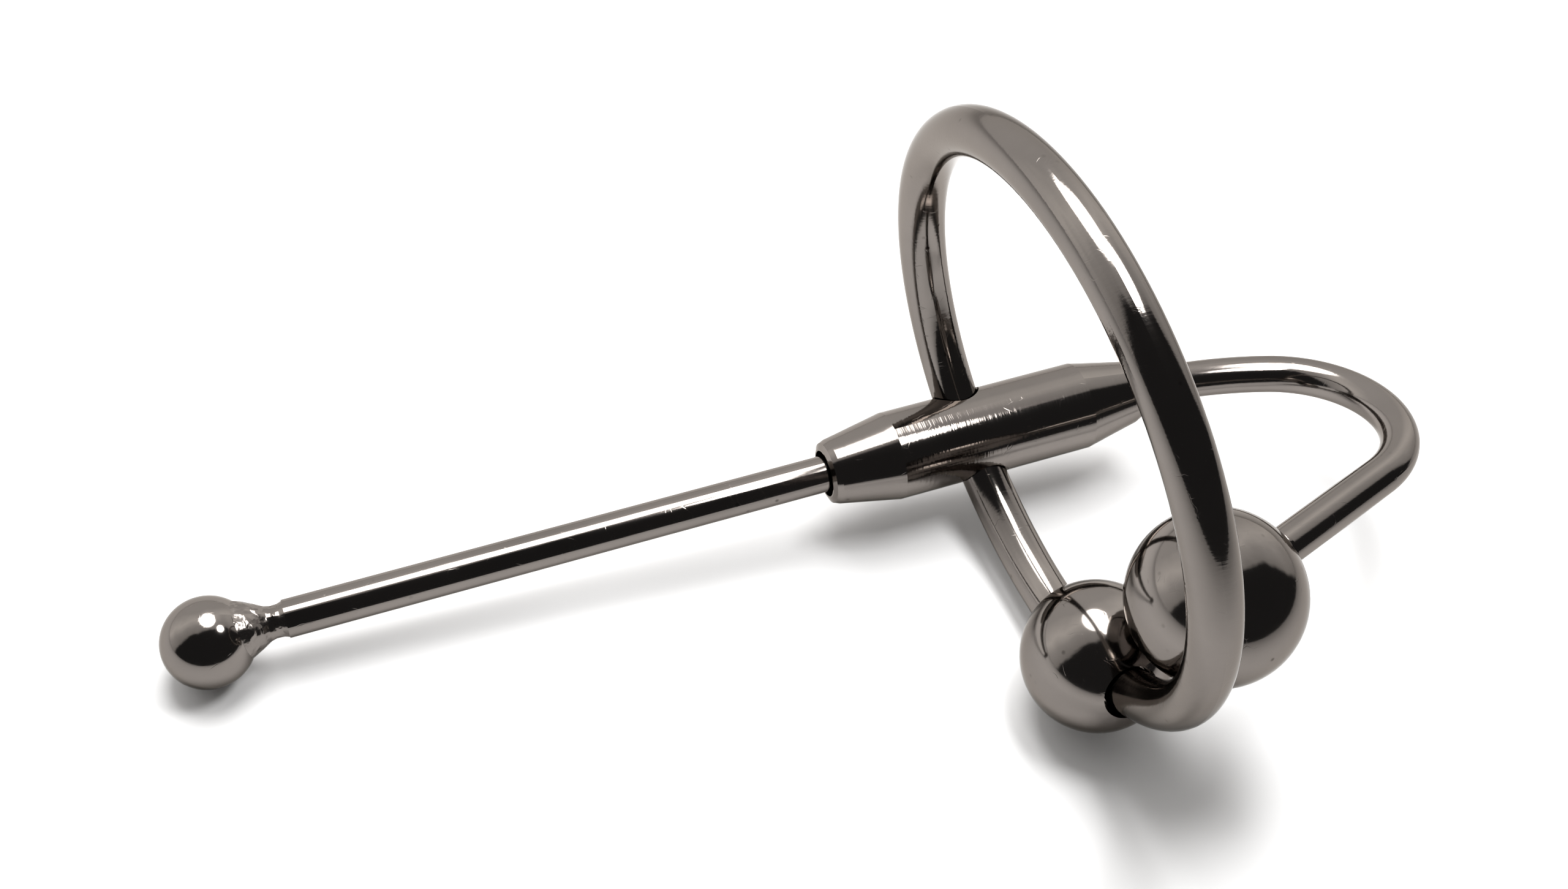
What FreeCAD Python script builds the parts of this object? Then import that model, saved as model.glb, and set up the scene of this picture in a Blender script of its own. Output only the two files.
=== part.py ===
import FreeCAD, Part
import math
import os

# A polished steel wand with a captive ring.  A straight rod with a welded ball
# tip is seated in a tapered barrel.  A hooked rod leaves the other end of the
# barrel and carries a second welded ball.  A round wire ring passes through a
# hole drilled across the barrel and is closed by a third ball that is held
# between the two ends of the wire.
#
# The pieces are drawn about the wand: +X runs along the rod from the tip to
# the hook, and the start is where the cross hole meets the rod's axis.
# lay_down() then turns and lifts everything to how it stands on a table.

V = FreeCAD.Vector
X_AXIS = V(1, 0, 0)
Y_AXIS = V(0, 1, 0)
CROSSING = V(0, 0, 0)

# ---------------------------------------------------------------- dimensions
# Millimetres and degrees.

rod_dia = 2.5                # straight rod
hook_dia = 2.6               # bent rod
ring_wire_dia = 3.1
tip_ball_dia = 5.9
closure_ball_dia = 9.9
hook_ball_dia = 11.1

tip_reach = 52.0             # centre of tip ball to cross hole
tip_ball_offset = 0.3        # the tip ball was welded on a little off centre
tip_neck_length = 1.9        # weld between the ball's surface and the rod
tip_waist_dia = 2.1          # thinnest place of that weld
tip_flare_dia = 4.2          # where the weld meets the ball
spigot_dia = 1.5             # turned ends that go into the balls
spigot_depth = 1.8           # how far a spigot goes into its ball

barrel_dia = 6.1
barrel_lip_dia = 4.5
barrel_lip_round = 0.55
barrel_front = 10.7          # cross hole to the mouth the rod goes into
barrel_back = 12.7           # cross hole to the mouth the hook leaves
barrel_front_cone = 4.8
barrel_back_cone = 4.4
mouth_recess = 0.35          # width of the gap round the rod at each mouth
mouth_recess_depth = 0.8
seat_wall = 0.8              # metal between a rod's blind end and the cross hole

ring_radius = 18.2           # to the middle of the wire
ring_plane_angle = 55.9      # ring centre above the horizontal, about the rod
ring_swing = 3.9             # ring swung about the hole towards the hook
hole_lean = 6.2              # cross hole out of square with the rod
closure_angle = 61.8         # cross hole to closure ball, round the ring
cross_hole_clearance = 0.08  # hole to wire, where they come closest
socket_depth = 1.0           # how far a wire end goes into the closure ball
socket_clearance = 0.05

hook_straight = 12.0         # cross hole to the start of the bend
hook_sweep_radius = 23.6     # slow bend where the hook leaves the barrel
hook_sweep_angle = 25.5
hook_bend_radius = 7.8       # tight bend that turns it back
hook_bend_angle = 132.5
hook_tail_straight = 11.3    # to where the rod's rounded end stops
hook_end_round = 0.6
hook_neck_dia = 1.9
hook_neck_length = 0.5
hook_plane_angle = 21.9      # bend plane above the horizontal, about the rod

rod_pitch = 3.1              # the rod rises this much towards the hook

# ------------------------------------------------------------ derived places

rod_r = rod_dia / 2
hook_r = hook_dia / 2
wire_r = ring_wire_dia / 2
tip_ball_r = tip_ball_dia / 2
closure_ball_r = closure_ball_dia / 2
hook_ball_r = hook_ball_dia / 2
barrel_r = barrel_dia / 2


def sideways(angle):
    """Unit vector square to the rod, this far above the horizontal."""
    a = math.radians(angle)
    return V(0, -math.cos(a), math.sin(a))


def turned(vector, axis, angle):
    """A vector turned about an axis through the start."""
    return FreeCAD.Rotation(axis, angle).multVec(vector)


# The wire is an arc, the cross hole is straight: inside the barrel the wire
# bows to one side by this much.
wire_bow = ring_radius - math.sqrt(ring_radius ** 2 - barrel_r ** 2)
cross_hole_r = wire_r + wire_bow / 2 + cross_hole_clearance

hole_side = sideways(ring_plane_angle)
hole_down = turned(X_AXIS.cross(hole_side), hole_side, hole_lean)
ring_out = turned(hole_side, hole_down, ring_swing)
ring_normal = ring_out.cross(hole_down)
ring_centre = ring_out * ring_radius

# Angles round the ring are measured at its centre from the cross hole.
wire_end_reach = closure_ball_r - socket_depth
wire_gap_angle = 2 * math.degrees(math.asin(wire_end_reach / ring_radius / 2))

seat_end = cross_hole_r + seat_wall
rod_front = -(tip_reach - tip_ball_r - tip_neck_length)


def ring_point(angle):
    """Middle of the ring wire, this far round from the cross hole."""
    a = math.radians(angle)
    return ring_centre + ring_out * (-ring_radius * math.cos(a)) + hole_down * (ring_radius * math.sin(a))


def ring_tangent(angle):
    """Direction of the ring wire, this far round from the cross hole."""
    a = math.radians(angle)
    return ring_out * math.sin(a) + hole_down * math.cos(a)


closure_gap_start = ring_point(closure_angle - wire_gap_angle)
closure_gap_end = ring_point(closure_angle + wire_gap_angle)
closure_centre = (closure_gap_start + closure_gap_end) * 0.5
closure_axis = ring_tangent(closure_angle)


# ------------------------------------------------------------------- helpers

def revolved(points):
    """Solid turned about the X axis from an outline of (x, radius) points."""
    corners = [V(x, 0, r) for x, r in points]
    outline = Part.makePolygon(corners + corners[:1])
    return Part.Face(outline).revolve(CROSSING, X_AXIS, 360)


def rod_between(start, end, radius):
    """Round bar between two points."""
    along = end - start
    return Part.makeCylinder(radius, along.Length, start, along)


def arc_bar(centre, start, normal, angle, radius):
    """Round bar bent about a centre, from its start through an angle."""
    along = normal.cross(start - centre)
    section = Part.Face(Part.Wire(Part.Circle(start, along, radius).toShape()))
    return section.revolve(centre, normal, angle)


def rounded_end(tip, along, radius, rounding):
    """Bar end whose edge is rounded, ending at tip and pointing along."""
    base = tip - along * (rounding * 2)
    bar = Part.makeCylinder(radius, rounding * 2, base, along)
    rim = [e for e in bar.Edges if e.Curve.TypeId == "Part::GeomCircle"
           and e.Curve.Center.distanceToPoint(tip) < 1e-6]
    return bar.makeFillet(rounding, rim)


# -------------------------------------------------------------------- pieces

def make_tip_ball():
    """Ball at the front end, drilled for the rod's turned spigot."""
    ball = Part.makeSphere(tip_ball_r, tip_centre())
    return ball.cut(tip_spigot())


def tip_centre():
    return V(-tip_reach, 0, -tip_ball_offset)


def tip_spigot():
    """Thin end of the rod inside the weld and the tip ball."""
    end = V(-(tip_reach - tip_ball_r + spigot_depth), 0, 0)
    return rod_between(end, V(rod_front, 0, 0), spigot_dia / 2)


def make_tip_weld():
    """Weld metal that flares from the rod's waist onto the ball."""
    on_ball = -(tip_reach - tip_ball_r * 0.55)
    flare_end = -(tip_reach - tip_ball_r) + 0.1
    waist = rod_front - 0.75
    profile = [(on_ball, spigot_dia / 2), (on_ball, tip_flare_dia / 2),
               (flare_end - 0.55, tip_flare_dia / 2 * 0.86),
               (flare_end + 0.15, (tip_flare_dia + tip_waist_dia) / 4 * 0.92),
               (waist - 0.35, tip_waist_dia / 2 * 1.08),
               (waist, tip_waist_dia / 2),
               (rod_front - 0.3, tip_waist_dia / 2 * 1.02),
               (rod_front, rod_r * 0.94), (rod_front, spigot_dia / 2)]
    return revolved(profile).cut(Part.makeSphere(tip_ball_r, tip_centre()))


def make_shaft():
    """Straight rod, spigot in front, blind end in the barrel."""
    body = rod_between(V(rod_front, 0, 0), V(-seat_end, 0, 0), rod_r)
    return body.fuse(tip_spigot()).removeSplitter()


def make_barrel():
    """Tapered sleeve with a seat for each rod and the hole for the ring."""
    lip_r = barrel_lip_dia / 2
    q = barrel_lip_round * (1 - math.sqrt(0.5))
    front = [(-barrel_front, 0), (-barrel_front, lip_r - barrel_lip_round),
             (-barrel_front + q, lip_r - q),
             (-barrel_front + barrel_lip_round, lip_r),
             (-barrel_front + barrel_front_cone, barrel_r)]
    back = [(barrel_back - barrel_back_cone, barrel_r),
            (barrel_back - barrel_lip_round, lip_r),
            (barrel_back - q, lip_r - q),
            (barrel_back, lip_r - barrel_lip_round), (barrel_back, 0)]
    body = revolved(front + back)
    cuts = [rod_between(V(-barrel_front, 0, 0), V(-seat_end, 0, 0), rod_r),
            rod_between(V(seat_end, 0, 0), V(barrel_back, 0, 0), hook_r)]
    cuts.append(rod_between(V(-barrel_front, 0, 0),
                            V(-barrel_front + mouth_recess_depth, 0, 0),
                            rod_r + mouth_recess))
    cuts.append(rod_between(V(barrel_back - mouth_recess_depth, 0, 0),
                            V(barrel_back, 0, 0), hook_r + mouth_recess))
    middle = ring_out * (wire_bow / 2)
    reach = hole_down * barrel_dia
    cuts.append(rod_between(middle - reach, middle + reach, cross_hole_r))
    return body.cut(cuts)


def hook_path():
    """Normal of the bend plane, then the arcs' centres and joints in turn."""
    side = sideways(hook_plane_angle)
    normal = X_AXIS.cross(side)
    start = V(hook_straight, 0, 0)
    sweep_centre = start + side * hook_sweep_radius
    middle = sweep_centre + turned(start - sweep_centre, normal, hook_sweep_angle)
    inward = (sweep_centre - middle).normalize()
    bend_centre = middle + inward * hook_bend_radius
    end = bend_centre + turned(middle - bend_centre, normal, hook_bend_angle)
    return normal, start, sweep_centre, middle, bend_centre, end


def hook_end():
    """Where the bent rod's rounded end stops, and its direction there."""
    path = hook_path()
    normal, bend_centre, end = path[0], path[4], path[5]
    along = normal.cross(end - bend_centre).normalize()
    return end + along * hook_tail_straight, along


def hook_ball_centre():
    end, along = hook_end()
    return end + along * (hook_neck_length + hook_ball_r)


def hook_spigot():
    """Thin end of the hook inside the weld and the hook's ball."""
    end, along = hook_end()
    return rod_between(end - along * 0.2,
                       end + along * (hook_neck_length + spigot_depth), spigot_dia / 2)


def make_hook_arm():
    """Bent rod, blind end in the barrel, rounded end at the ball."""
    normal, start, sweep_centre, middle, bend_centre, end = hook_path()
    tip, along = hook_end()
    pieces = [arc_bar(sweep_centre, start, normal, hook_sweep_angle, hook_r),
              arc_bar(bend_centre, middle, normal, hook_bend_angle, hook_r),
              rod_between(end, tip - along * hook_end_round * 1.5, hook_r),
              rounded_end(tip, along, hook_r, hook_end_round),
              hook_spigot()]
    straight = rod_between(V(seat_end, 0, 0), start, hook_r)
    return straight.fuse(pieces).removeSplitter()


def make_hook_weld():
    """Weld metal between the hook's rounded end and its ball."""
    end, along = hook_end()
    neck = rod_between(end, end + along * (hook_neck_length + 0.4), hook_neck_dia / 2)
    return neck.cut([Part.makeSphere(hook_ball_r, hook_ball_centre()), hook_spigot()])


def make_hook_ball():
    """Ball on the end of the hook, drilled for the spigot."""
    return Part.makeSphere(hook_ball_r, hook_ball_centre()).cut(hook_spigot())


def make_ring():
    """Open ring of round wire, one end each side of the closure ball."""
    start = closure_angle + wire_gap_angle
    sweep = 360 - 2 * wire_gap_angle
    normal = ring_normal * -1
    return arc_bar(ring_centre, ring_point(start), normal, sweep, wire_r)


def make_closure_ball():
    """Ball with a dimple on each side for the ends of the wire."""
    ball = Part.makeSphere(closure_ball_r, closure_centre)
    lean = math.radians(wire_gap_angle)
    floor_r = wire_r / math.cos(lean) + socket_clearance
    half_gap = (closure_gap_end - closure_gap_start).Length / 2
    floor = half_gap - wire_r * math.sin(lean) - socket_clearance
    depth = closure_ball_r - floor + wire_r     # runs out past the ball
    mouth_r = floor_r + math.tan(lean) * depth
    for way in (1, -1):
        base = closure_centre + closure_axis * (floor * way)
        ball = ball.cut(Part.makeCone(floor_r, mouth_r, depth, base,
                                      closure_axis * way))
    return ball


# ------------------------------------------------------------------ assembly

def pieces():
    """Every piece by name, drawn about the wand."""
    return {
        "tip_ball": make_tip_ball(),
        "tip_weld": make_tip_weld(),
        "shaft": make_shaft(),
        "barrel": make_barrel(),
        "hook_arm": make_hook_arm(),
        "hook_weld": make_hook_weld(),
        "hook_ball": make_hook_ball(),
        "ring": make_ring(),
        "closure_ball": make_closure_ball(),
    }


def lay_down(shapes):
    """Placement that pitches the rod and stands the lowest point on z = 0."""
    pitch = FreeCAD.Rotation(Y_AXIS, -rod_pitch)
    box = FreeCAD.BoundBox()
    for shape in shapes.values():
        copy = shape.copy()
        copy.Placement = FreeCAD.Placement(V(0, 0, 0), pitch)
        box.add(copy.optimalBoundingBox(False, False))
    centre = box.Center
    return FreeCAD.Placement(V(-centre.x, -centre.y, -box.ZMin), pitch)


def main():
    os.makedirs("parts", exist_ok=True)
    shapes = pieces()
    placement = lay_down(shapes)
    for name, shape in shapes.items():
        shape.Placement = placement
        shape.exportStep("parts/" + name + ".step")
        print(name, shape.isValid(), len(shape.Solids), round(shape.Volume, 1))
    for name, point in (("crossing", CROSSING), ("ring centre", ring_centre),
                        ("closure", closure_centre), ("hook ball", hook_ball_centre()),
                        ("tip", tip_centre())):
        print(name, placement.multVec(point))
    for name, way in (("ring normal", ring_normal), ("closure axis", closure_axis),
                      ("rod", X_AXIS), ("hole", hole_down)):
        print(name, placement.Rotation.multVec(way))


main()
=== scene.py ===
import math

import bpy
from mathutils import Matrix, Vector

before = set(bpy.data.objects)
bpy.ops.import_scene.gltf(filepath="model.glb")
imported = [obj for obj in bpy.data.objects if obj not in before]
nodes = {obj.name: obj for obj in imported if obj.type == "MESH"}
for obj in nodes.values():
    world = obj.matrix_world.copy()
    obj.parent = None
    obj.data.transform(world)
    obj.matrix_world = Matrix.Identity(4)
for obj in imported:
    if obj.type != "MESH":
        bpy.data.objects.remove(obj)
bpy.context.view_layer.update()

scene = bpy.context.scene
scene.view_settings.view_transform = "Standard"
scene.view_settings.look = "None"

STEEL = (0.186, 0.168, 0.155)           # dark, because the table is lit to pure white
EDGE_TINT = (0.62, 0.60, 0.58, 1.0)     # where the surface is seen nearly side-on
PIT_COLOUR = (0.05, 0.045, 0.04, 1.0)
BUMP_STRENGTH = 0.35
BUMP_DEPTH = 0.00004                    # metres, for lines, scratches and pits
WELD_LUMP = 0.00022                     # metres, for the lumps of a weld
SCRATCH_HEIGHT = -0.3
SCRATCH_GLOSS = 0.08                    # how much rougher a scratch is
LINE_HEIGHT = 0.22

# Polishing lines, in noise cycles per metre.
LINES_LONG = 180.0                      # along the line, on a bar or ball
LINES_TURNED = 240.0                    # along the line, round a turned piece
LINES_FINE = 5200.0                     # across the line

ROD_PITCH = math.radians(3.1)           # the rod rises this much towards the hook
ROD_WAY = (math.cos(ROD_PITCH), 0.0, math.sin(ROD_PITCH))
HOOK_WAY = (0.4, 1.0, 0.0)
RING_WAY = (0.0, 0.3, 1.0)

TABLE_HALF = 0.6
KEY_PLACE = (0.000, 0.104, 0.230)
KEY_SIZE = (0.150, 0.170)
KEY_POWER = 0.62
TOP_PLACE = (0.023, 0.004, 0.096)
TOP_SIZE = (0.032, 0.032)
TOP_POWER = 0.050
ROOM_STRENGTH = 1.5

CAMERA_PLACE = (-0.03997, -0.05939, 0.11203)
CAMERA_RIGHT = (0.9284, -0.3523, 0.1177)
CAMERA_LOOK = (0.3036, 0.5372, -0.7869)
CAMERA_LENS = 45.64
CAMERA_SENSOR = 36.0
CAMERA_NEAR = 0.001


# ------------------------------------------------------------ node helpers

def new_material(name):
    material = bpy.data.materials.new(name)
    material.use_nodes = True
    tree = material.node_tree
    shader = next(n for n in tree.nodes if n.type == "BSDF_PRINCIPLED")
    return material, tree, shader


def add_node(tree, kind, inputs=None, **settings):
    """New node; each input is either a socket to link or a value to set."""
    node = tree.nodes.new(kind)
    for key, value in settings.items():
        setattr(node, key, value)
    for key, value in (inputs or {}).items():
        if isinstance(value, bpy.types.NodeSocket):
            tree.links.new(value, node.inputs[key])
        else:
            node.inputs[key].default_value = value
    return node


def noise(tree, vector, scale, detail, output="Fac"):
    node = add_node(tree, "ShaderNodeTexNoise", {"Vector": vector, "Scale": scale, "Detail": detail})
    return node.outputs[output]


def times(tree, a, b):
    return add_node(tree, "ShaderNodeMath", {0: a, 1: b}, operation="MULTIPLY").outputs["Value"]


def times_plus(tree, a, b, c):
    node = add_node(tree, "ShaderNodeMath", {0: a, 1: b, 2: c}, operation="MULTIPLY_ADD")
    return node.outputs["Value"]


def ramp(tree, factor, stops):
    """Colour ramp through (place, (r, g, b)) stops."""
    node = add_node(tree, "ShaderNodeValToRGB", {"Fac": factor})
    elements = node.color_ramp.elements
    while len(elements) < len(stops):
        elements.new(0.5)
    for element, (place, colour) in zip(elements, stops):
        element.position = place
        element.color = (*colour, 1.0)
    return node.outputs["Color"]


def grey(v):
    return (v, v, v)


# --------------------------------------------------------------- materials

def polishing_lines(tree, coords, along, turned):
    """Noise stretched along the piece, or round it on a turned one."""
    turn = Vector(along).normalized().rotation_difference(Vector((1, 0, 0))).to_euler()
    stretch = (LINES_FINE, LINES_TURNED, LINES_TURNED) if turned else (LINES_LONG, LINES_FINE, LINES_FINE)
    space = add_node(tree, "ShaderNodeMapping",
                     {"Vector": coords, "Rotation": tuple(turn), "Scale": stretch})
    return noise(tree, space.outputs["Vector"], 1.0, 3.0)


def warped(tree, coords):
    """The same coordinates, bent a little, so that nothing runs quite straight."""
    warp = noise(tree, coords, 260.0, 2.0, "Color")
    bent = add_node(tree, "ShaderNodeVectorMath", {0: warp, 1: (0.006, 0.006, 0.006)},
                    operation="MULTIPLY").outputs["Vector"]
    return add_node(tree, "ShaderNodeVectorMath", {0: coords, 1: bent}, operation="ADD").outputs["Vector"]


def hair_scratches(tree, coords, moved):
    """Thin handling scratches, only here and there."""
    cells = add_node(tree, "ShaderNodeTexVoronoi", {"Vector": moved, "Scale": 760.0},
                     feature="DISTANCE_TO_EDGE").outputs["Distance"]
    thin = ramp(tree, cells, [(0.0, grey(0.7)), (0.010, grey(0.3)), (0.024, grey(0))])
    some = ramp(tree, noise(tree, coords, 900.0, 1.0), [(0.56, grey(0)), (0.66, grey(1))])
    return times(tree, thin, some)


def small_pits(tree, coords):
    """Round pits in patches."""
    dots = add_node(tree, "ShaderNodeTexVoronoi", {"Vector": coords, "Scale": 900.0}).outputs["Distance"]
    pit = ramp(tree, dots, [(0.0, grey(1)), (0.10, grey(0.5)), (0.16, grey(0))])
    few = ramp(tree, noise(tree, coords, 170.0, 3.0), [(0.56, grey(0)), (0.66, grey(1))])
    return times(tree, pit, few)


def weld_lumps(tree, coords, moved):
    """Rounded lumps about a millimetre across."""
    lump = add_node(tree, "ShaderNodeTexVoronoi", {"Vector": moved, "Scale": 950.0, "Smoothness": 0.9},
                    feature="SMOOTH_F1").outputs["Distance"]
    return times_plus(tree, lump, -1.0, noise(tree, coords, 700.0, 3.0))


def steel(name, roughness, line_depth, pit_depth=0.25, worn=0.06, along=(1, 0, 0), lumps=0.0,
          turned=False):
    """Polished steel: polishing lines, thin scratches, pits, smears and, on a weld, lumps."""
    material, tree, shader = new_material(name)
    coords = add_node(tree, "ShaderNodeTexCoord").outputs["Object"]
    lines = polishing_lines(tree, coords, along, turned)
    moved = warped(tree, coords)
    hair = hair_scratches(tree, coords, moved)
    pit = small_pits(tree, coords)

    # smears: slow changes of tone and gloss
    smear = add_node(tree, "ShaderNodeTexNoise",
                     {"Vector": coords, "Scale": 120.0, "Detail": 6.0, "Roughness": 0.6}).outputs["Fac"]
    darker = [c * 0.90 for c in STEEL]
    lighter = [c * 1.07 for c in STEEL]
    tone = ramp(tree, smear, [(0.30, darker), (0.55, STEEL), (0.75, lighter)])
    tone = add_node(tree, "ShaderNodeMix", {"Factor": pit, 6: tone, 7: PIT_COLOUR},
                    data_type="RGBA").outputs[2]
    tree.links.new(tone, shader.inputs["Base Color"])
    gloss = add_node(tree, "ShaderNodeMapRange",
                     {"Value": smear, "From Min": 0.3, "From Max": 0.75, "To Min": roughness,
                      "To Max": roughness + worn}).outputs["Result"]
    tree.links.new(times_plus(tree, hair, SCRATCH_GLOSS, gloss), shader.inputs["Roughness"])

    height = times_plus(tree, hair, SCRATCH_HEIGHT, 0.0)
    height = times_plus(tree, lines, LINE_HEIGHT * line_depth, height)
    height = times_plus(tree, pit, -pit_depth, height)
    bump = add_node(tree, "ShaderNodeBump",
                    {"Strength": BUMP_STRENGTH, "Distance": BUMP_DEPTH, "Height": height}).outputs["Normal"]
    if lumps:
        bump = add_node(tree, "ShaderNodeBump",
                        {"Strength": 1.0, "Distance": lumps, "Height": weld_lumps(tree, coords, moved),
                         "Normal": bump}).outputs["Normal"]
    tree.links.new(bump, shader.inputs["Normal"])
    shader.inputs["Metallic"].default_value = 1.0
    shader.inputs["Specular Tint"].default_value = EDGE_TINT
    return material


looks = {
    "shaft": steel("shaft_steel", 0.07, 0.7, along=ROD_WAY),
    "barrel": steel("barrel_steel", 0.07, 2.4, 0.8, 0.05, along=ROD_WAY, turned=True),
    "hook_arm": steel("hook_steel", 0.08, 0.8, 0.5, 0.05, along=HOOK_WAY),
    "ring": steel("ring_steel", 0.08, 1.0, 0.6, 0.05, along=RING_WAY),
    "tip_ball": steel("tip_ball_steel", 0.075, 0.3, 0.25, 0.04),
    "hook_ball": steel("hook_ball_steel", 0.075, 0.3, 0.25, 0.04),
    "closure_ball": steel("closure_ball_steel", 0.075, 0.3, 0.25, 0.04),
    "tip_weld": steel("tip_weld_steel", 0.14, 0.3, 0.5, 0.10, lumps=WELD_LUMP),
    "hook_weld": steel("hook_weld_steel", 0.14, 0.3, 0.5, 0.10, lumps=WELD_LUMP),
}
for name, material in looks.items():
    data = nodes[name].data
    data.materials.clear()
    data.materials.append(material)


# ------------------------------------------------------------ floor, lights

def make_floor():
    """White table that the object rests on."""
    material, tree, shader = new_material("table_white")
    coords = add_node(tree, "ShaderNodeTexCoord").outputs["Object"]
    tone = ramp(tree, noise(tree, coords, 9.0, 2.0), [(0.3, grey(0.86)), (0.7, grey(0.90))])
    tree.links.new(tone, shader.inputs["Base Color"])
    shader.inputs["Roughness"].default_value = 0.6
    half = TABLE_HALF
    corners = [(-half, -half, 0), (half, -half, 0), (half, half, 0), (-half, half, 0)]
    mesh = bpy.data.meshes.new("floor")
    mesh.from_pydata(corners, [], [(0, 1, 2, 3)])
    mesh.materials.append(material)
    floor = bpy.data.objects.new("floor", mesh)
    scene.collection.objects.link(floor)


def area_light(name, place, size, power):
    """Oval lamp that faces the middle of the object's footprint."""
    data = bpy.data.lights.new(name, "AREA")
    data.shape = "ELLIPSE"
    data.size, data.size_y = size
    data.energy = power
    light = bpy.data.objects.new(name, data)
    light.location = place
    light.rotation_euler = Vector(place).to_track_quat("Z", "Y").to_euler()
    scene.collection.objects.link(light)


def make_world():
    """A pale wall behind the object, a dark room on the viewer's side."""
    world = bpy.data.worlds.new("room")
    scene.world = world
    world.use_nodes = True
    tree = world.node_tree
    tree.nodes.clear()
    coords = add_node(tree, "ShaderNodeTexCoord").outputs["Generated"]
    towards_wall = add_node(tree, "ShaderNodeSeparateXYZ", {"Vector": coords}).outputs["Y"]
    edge = times_plus(tree, noise(tree, coords, 2.2, 2.0), 0.35, towards_wall)
    wall = ramp(tree, edge, [(0.10, (0.030, 0.030, 0.031)), (0.18, (0.50, 0.49, 0.48)),
                             (0.45, (0.72, 0.71, 0.70)), (0.70, (1.15, 1.13, 1.10)),
                             (1.0, (0.80, 0.79, 0.78))])
    back = add_node(tree, "ShaderNodeBackground", {"Color": wall, "Strength": ROOM_STRENGTH})
    out = add_node(tree, "ShaderNodeOutputWorld")
    tree.links.new(back.outputs["Background"], out.inputs["Surface"])


make_floor()
make_world()
area_light("key", KEY_PLACE, KEY_SIZE, KEY_POWER)
area_light("top", TOP_PLACE, TOP_SIZE, TOP_POWER)


# ------------------------------------------------------------------ camera

def make_camera():
    """The camera stands above the near side and looks down across the piece."""
    data = bpy.data.cameras.new("camera")
    data.lens = CAMERA_LENS
    data.sensor_width = CAMERA_SENSOR
    data.clip_start = CAMERA_NEAR
    camera = bpy.data.objects.new("camera", data)
    look = Vector(CAMERA_LOOK).normalized()
    up = Vector(CAMERA_RIGHT).normalized().cross(look).normalized()
    right = look.cross(up)
    turn = Matrix((right, up, -look)).transposed()
    camera.matrix_world = Matrix.Translation(CAMERA_PLACE) @ turn.to_4x4()
    scene.collection.objects.link(camera)
    scene.camera = camera


make_camera()
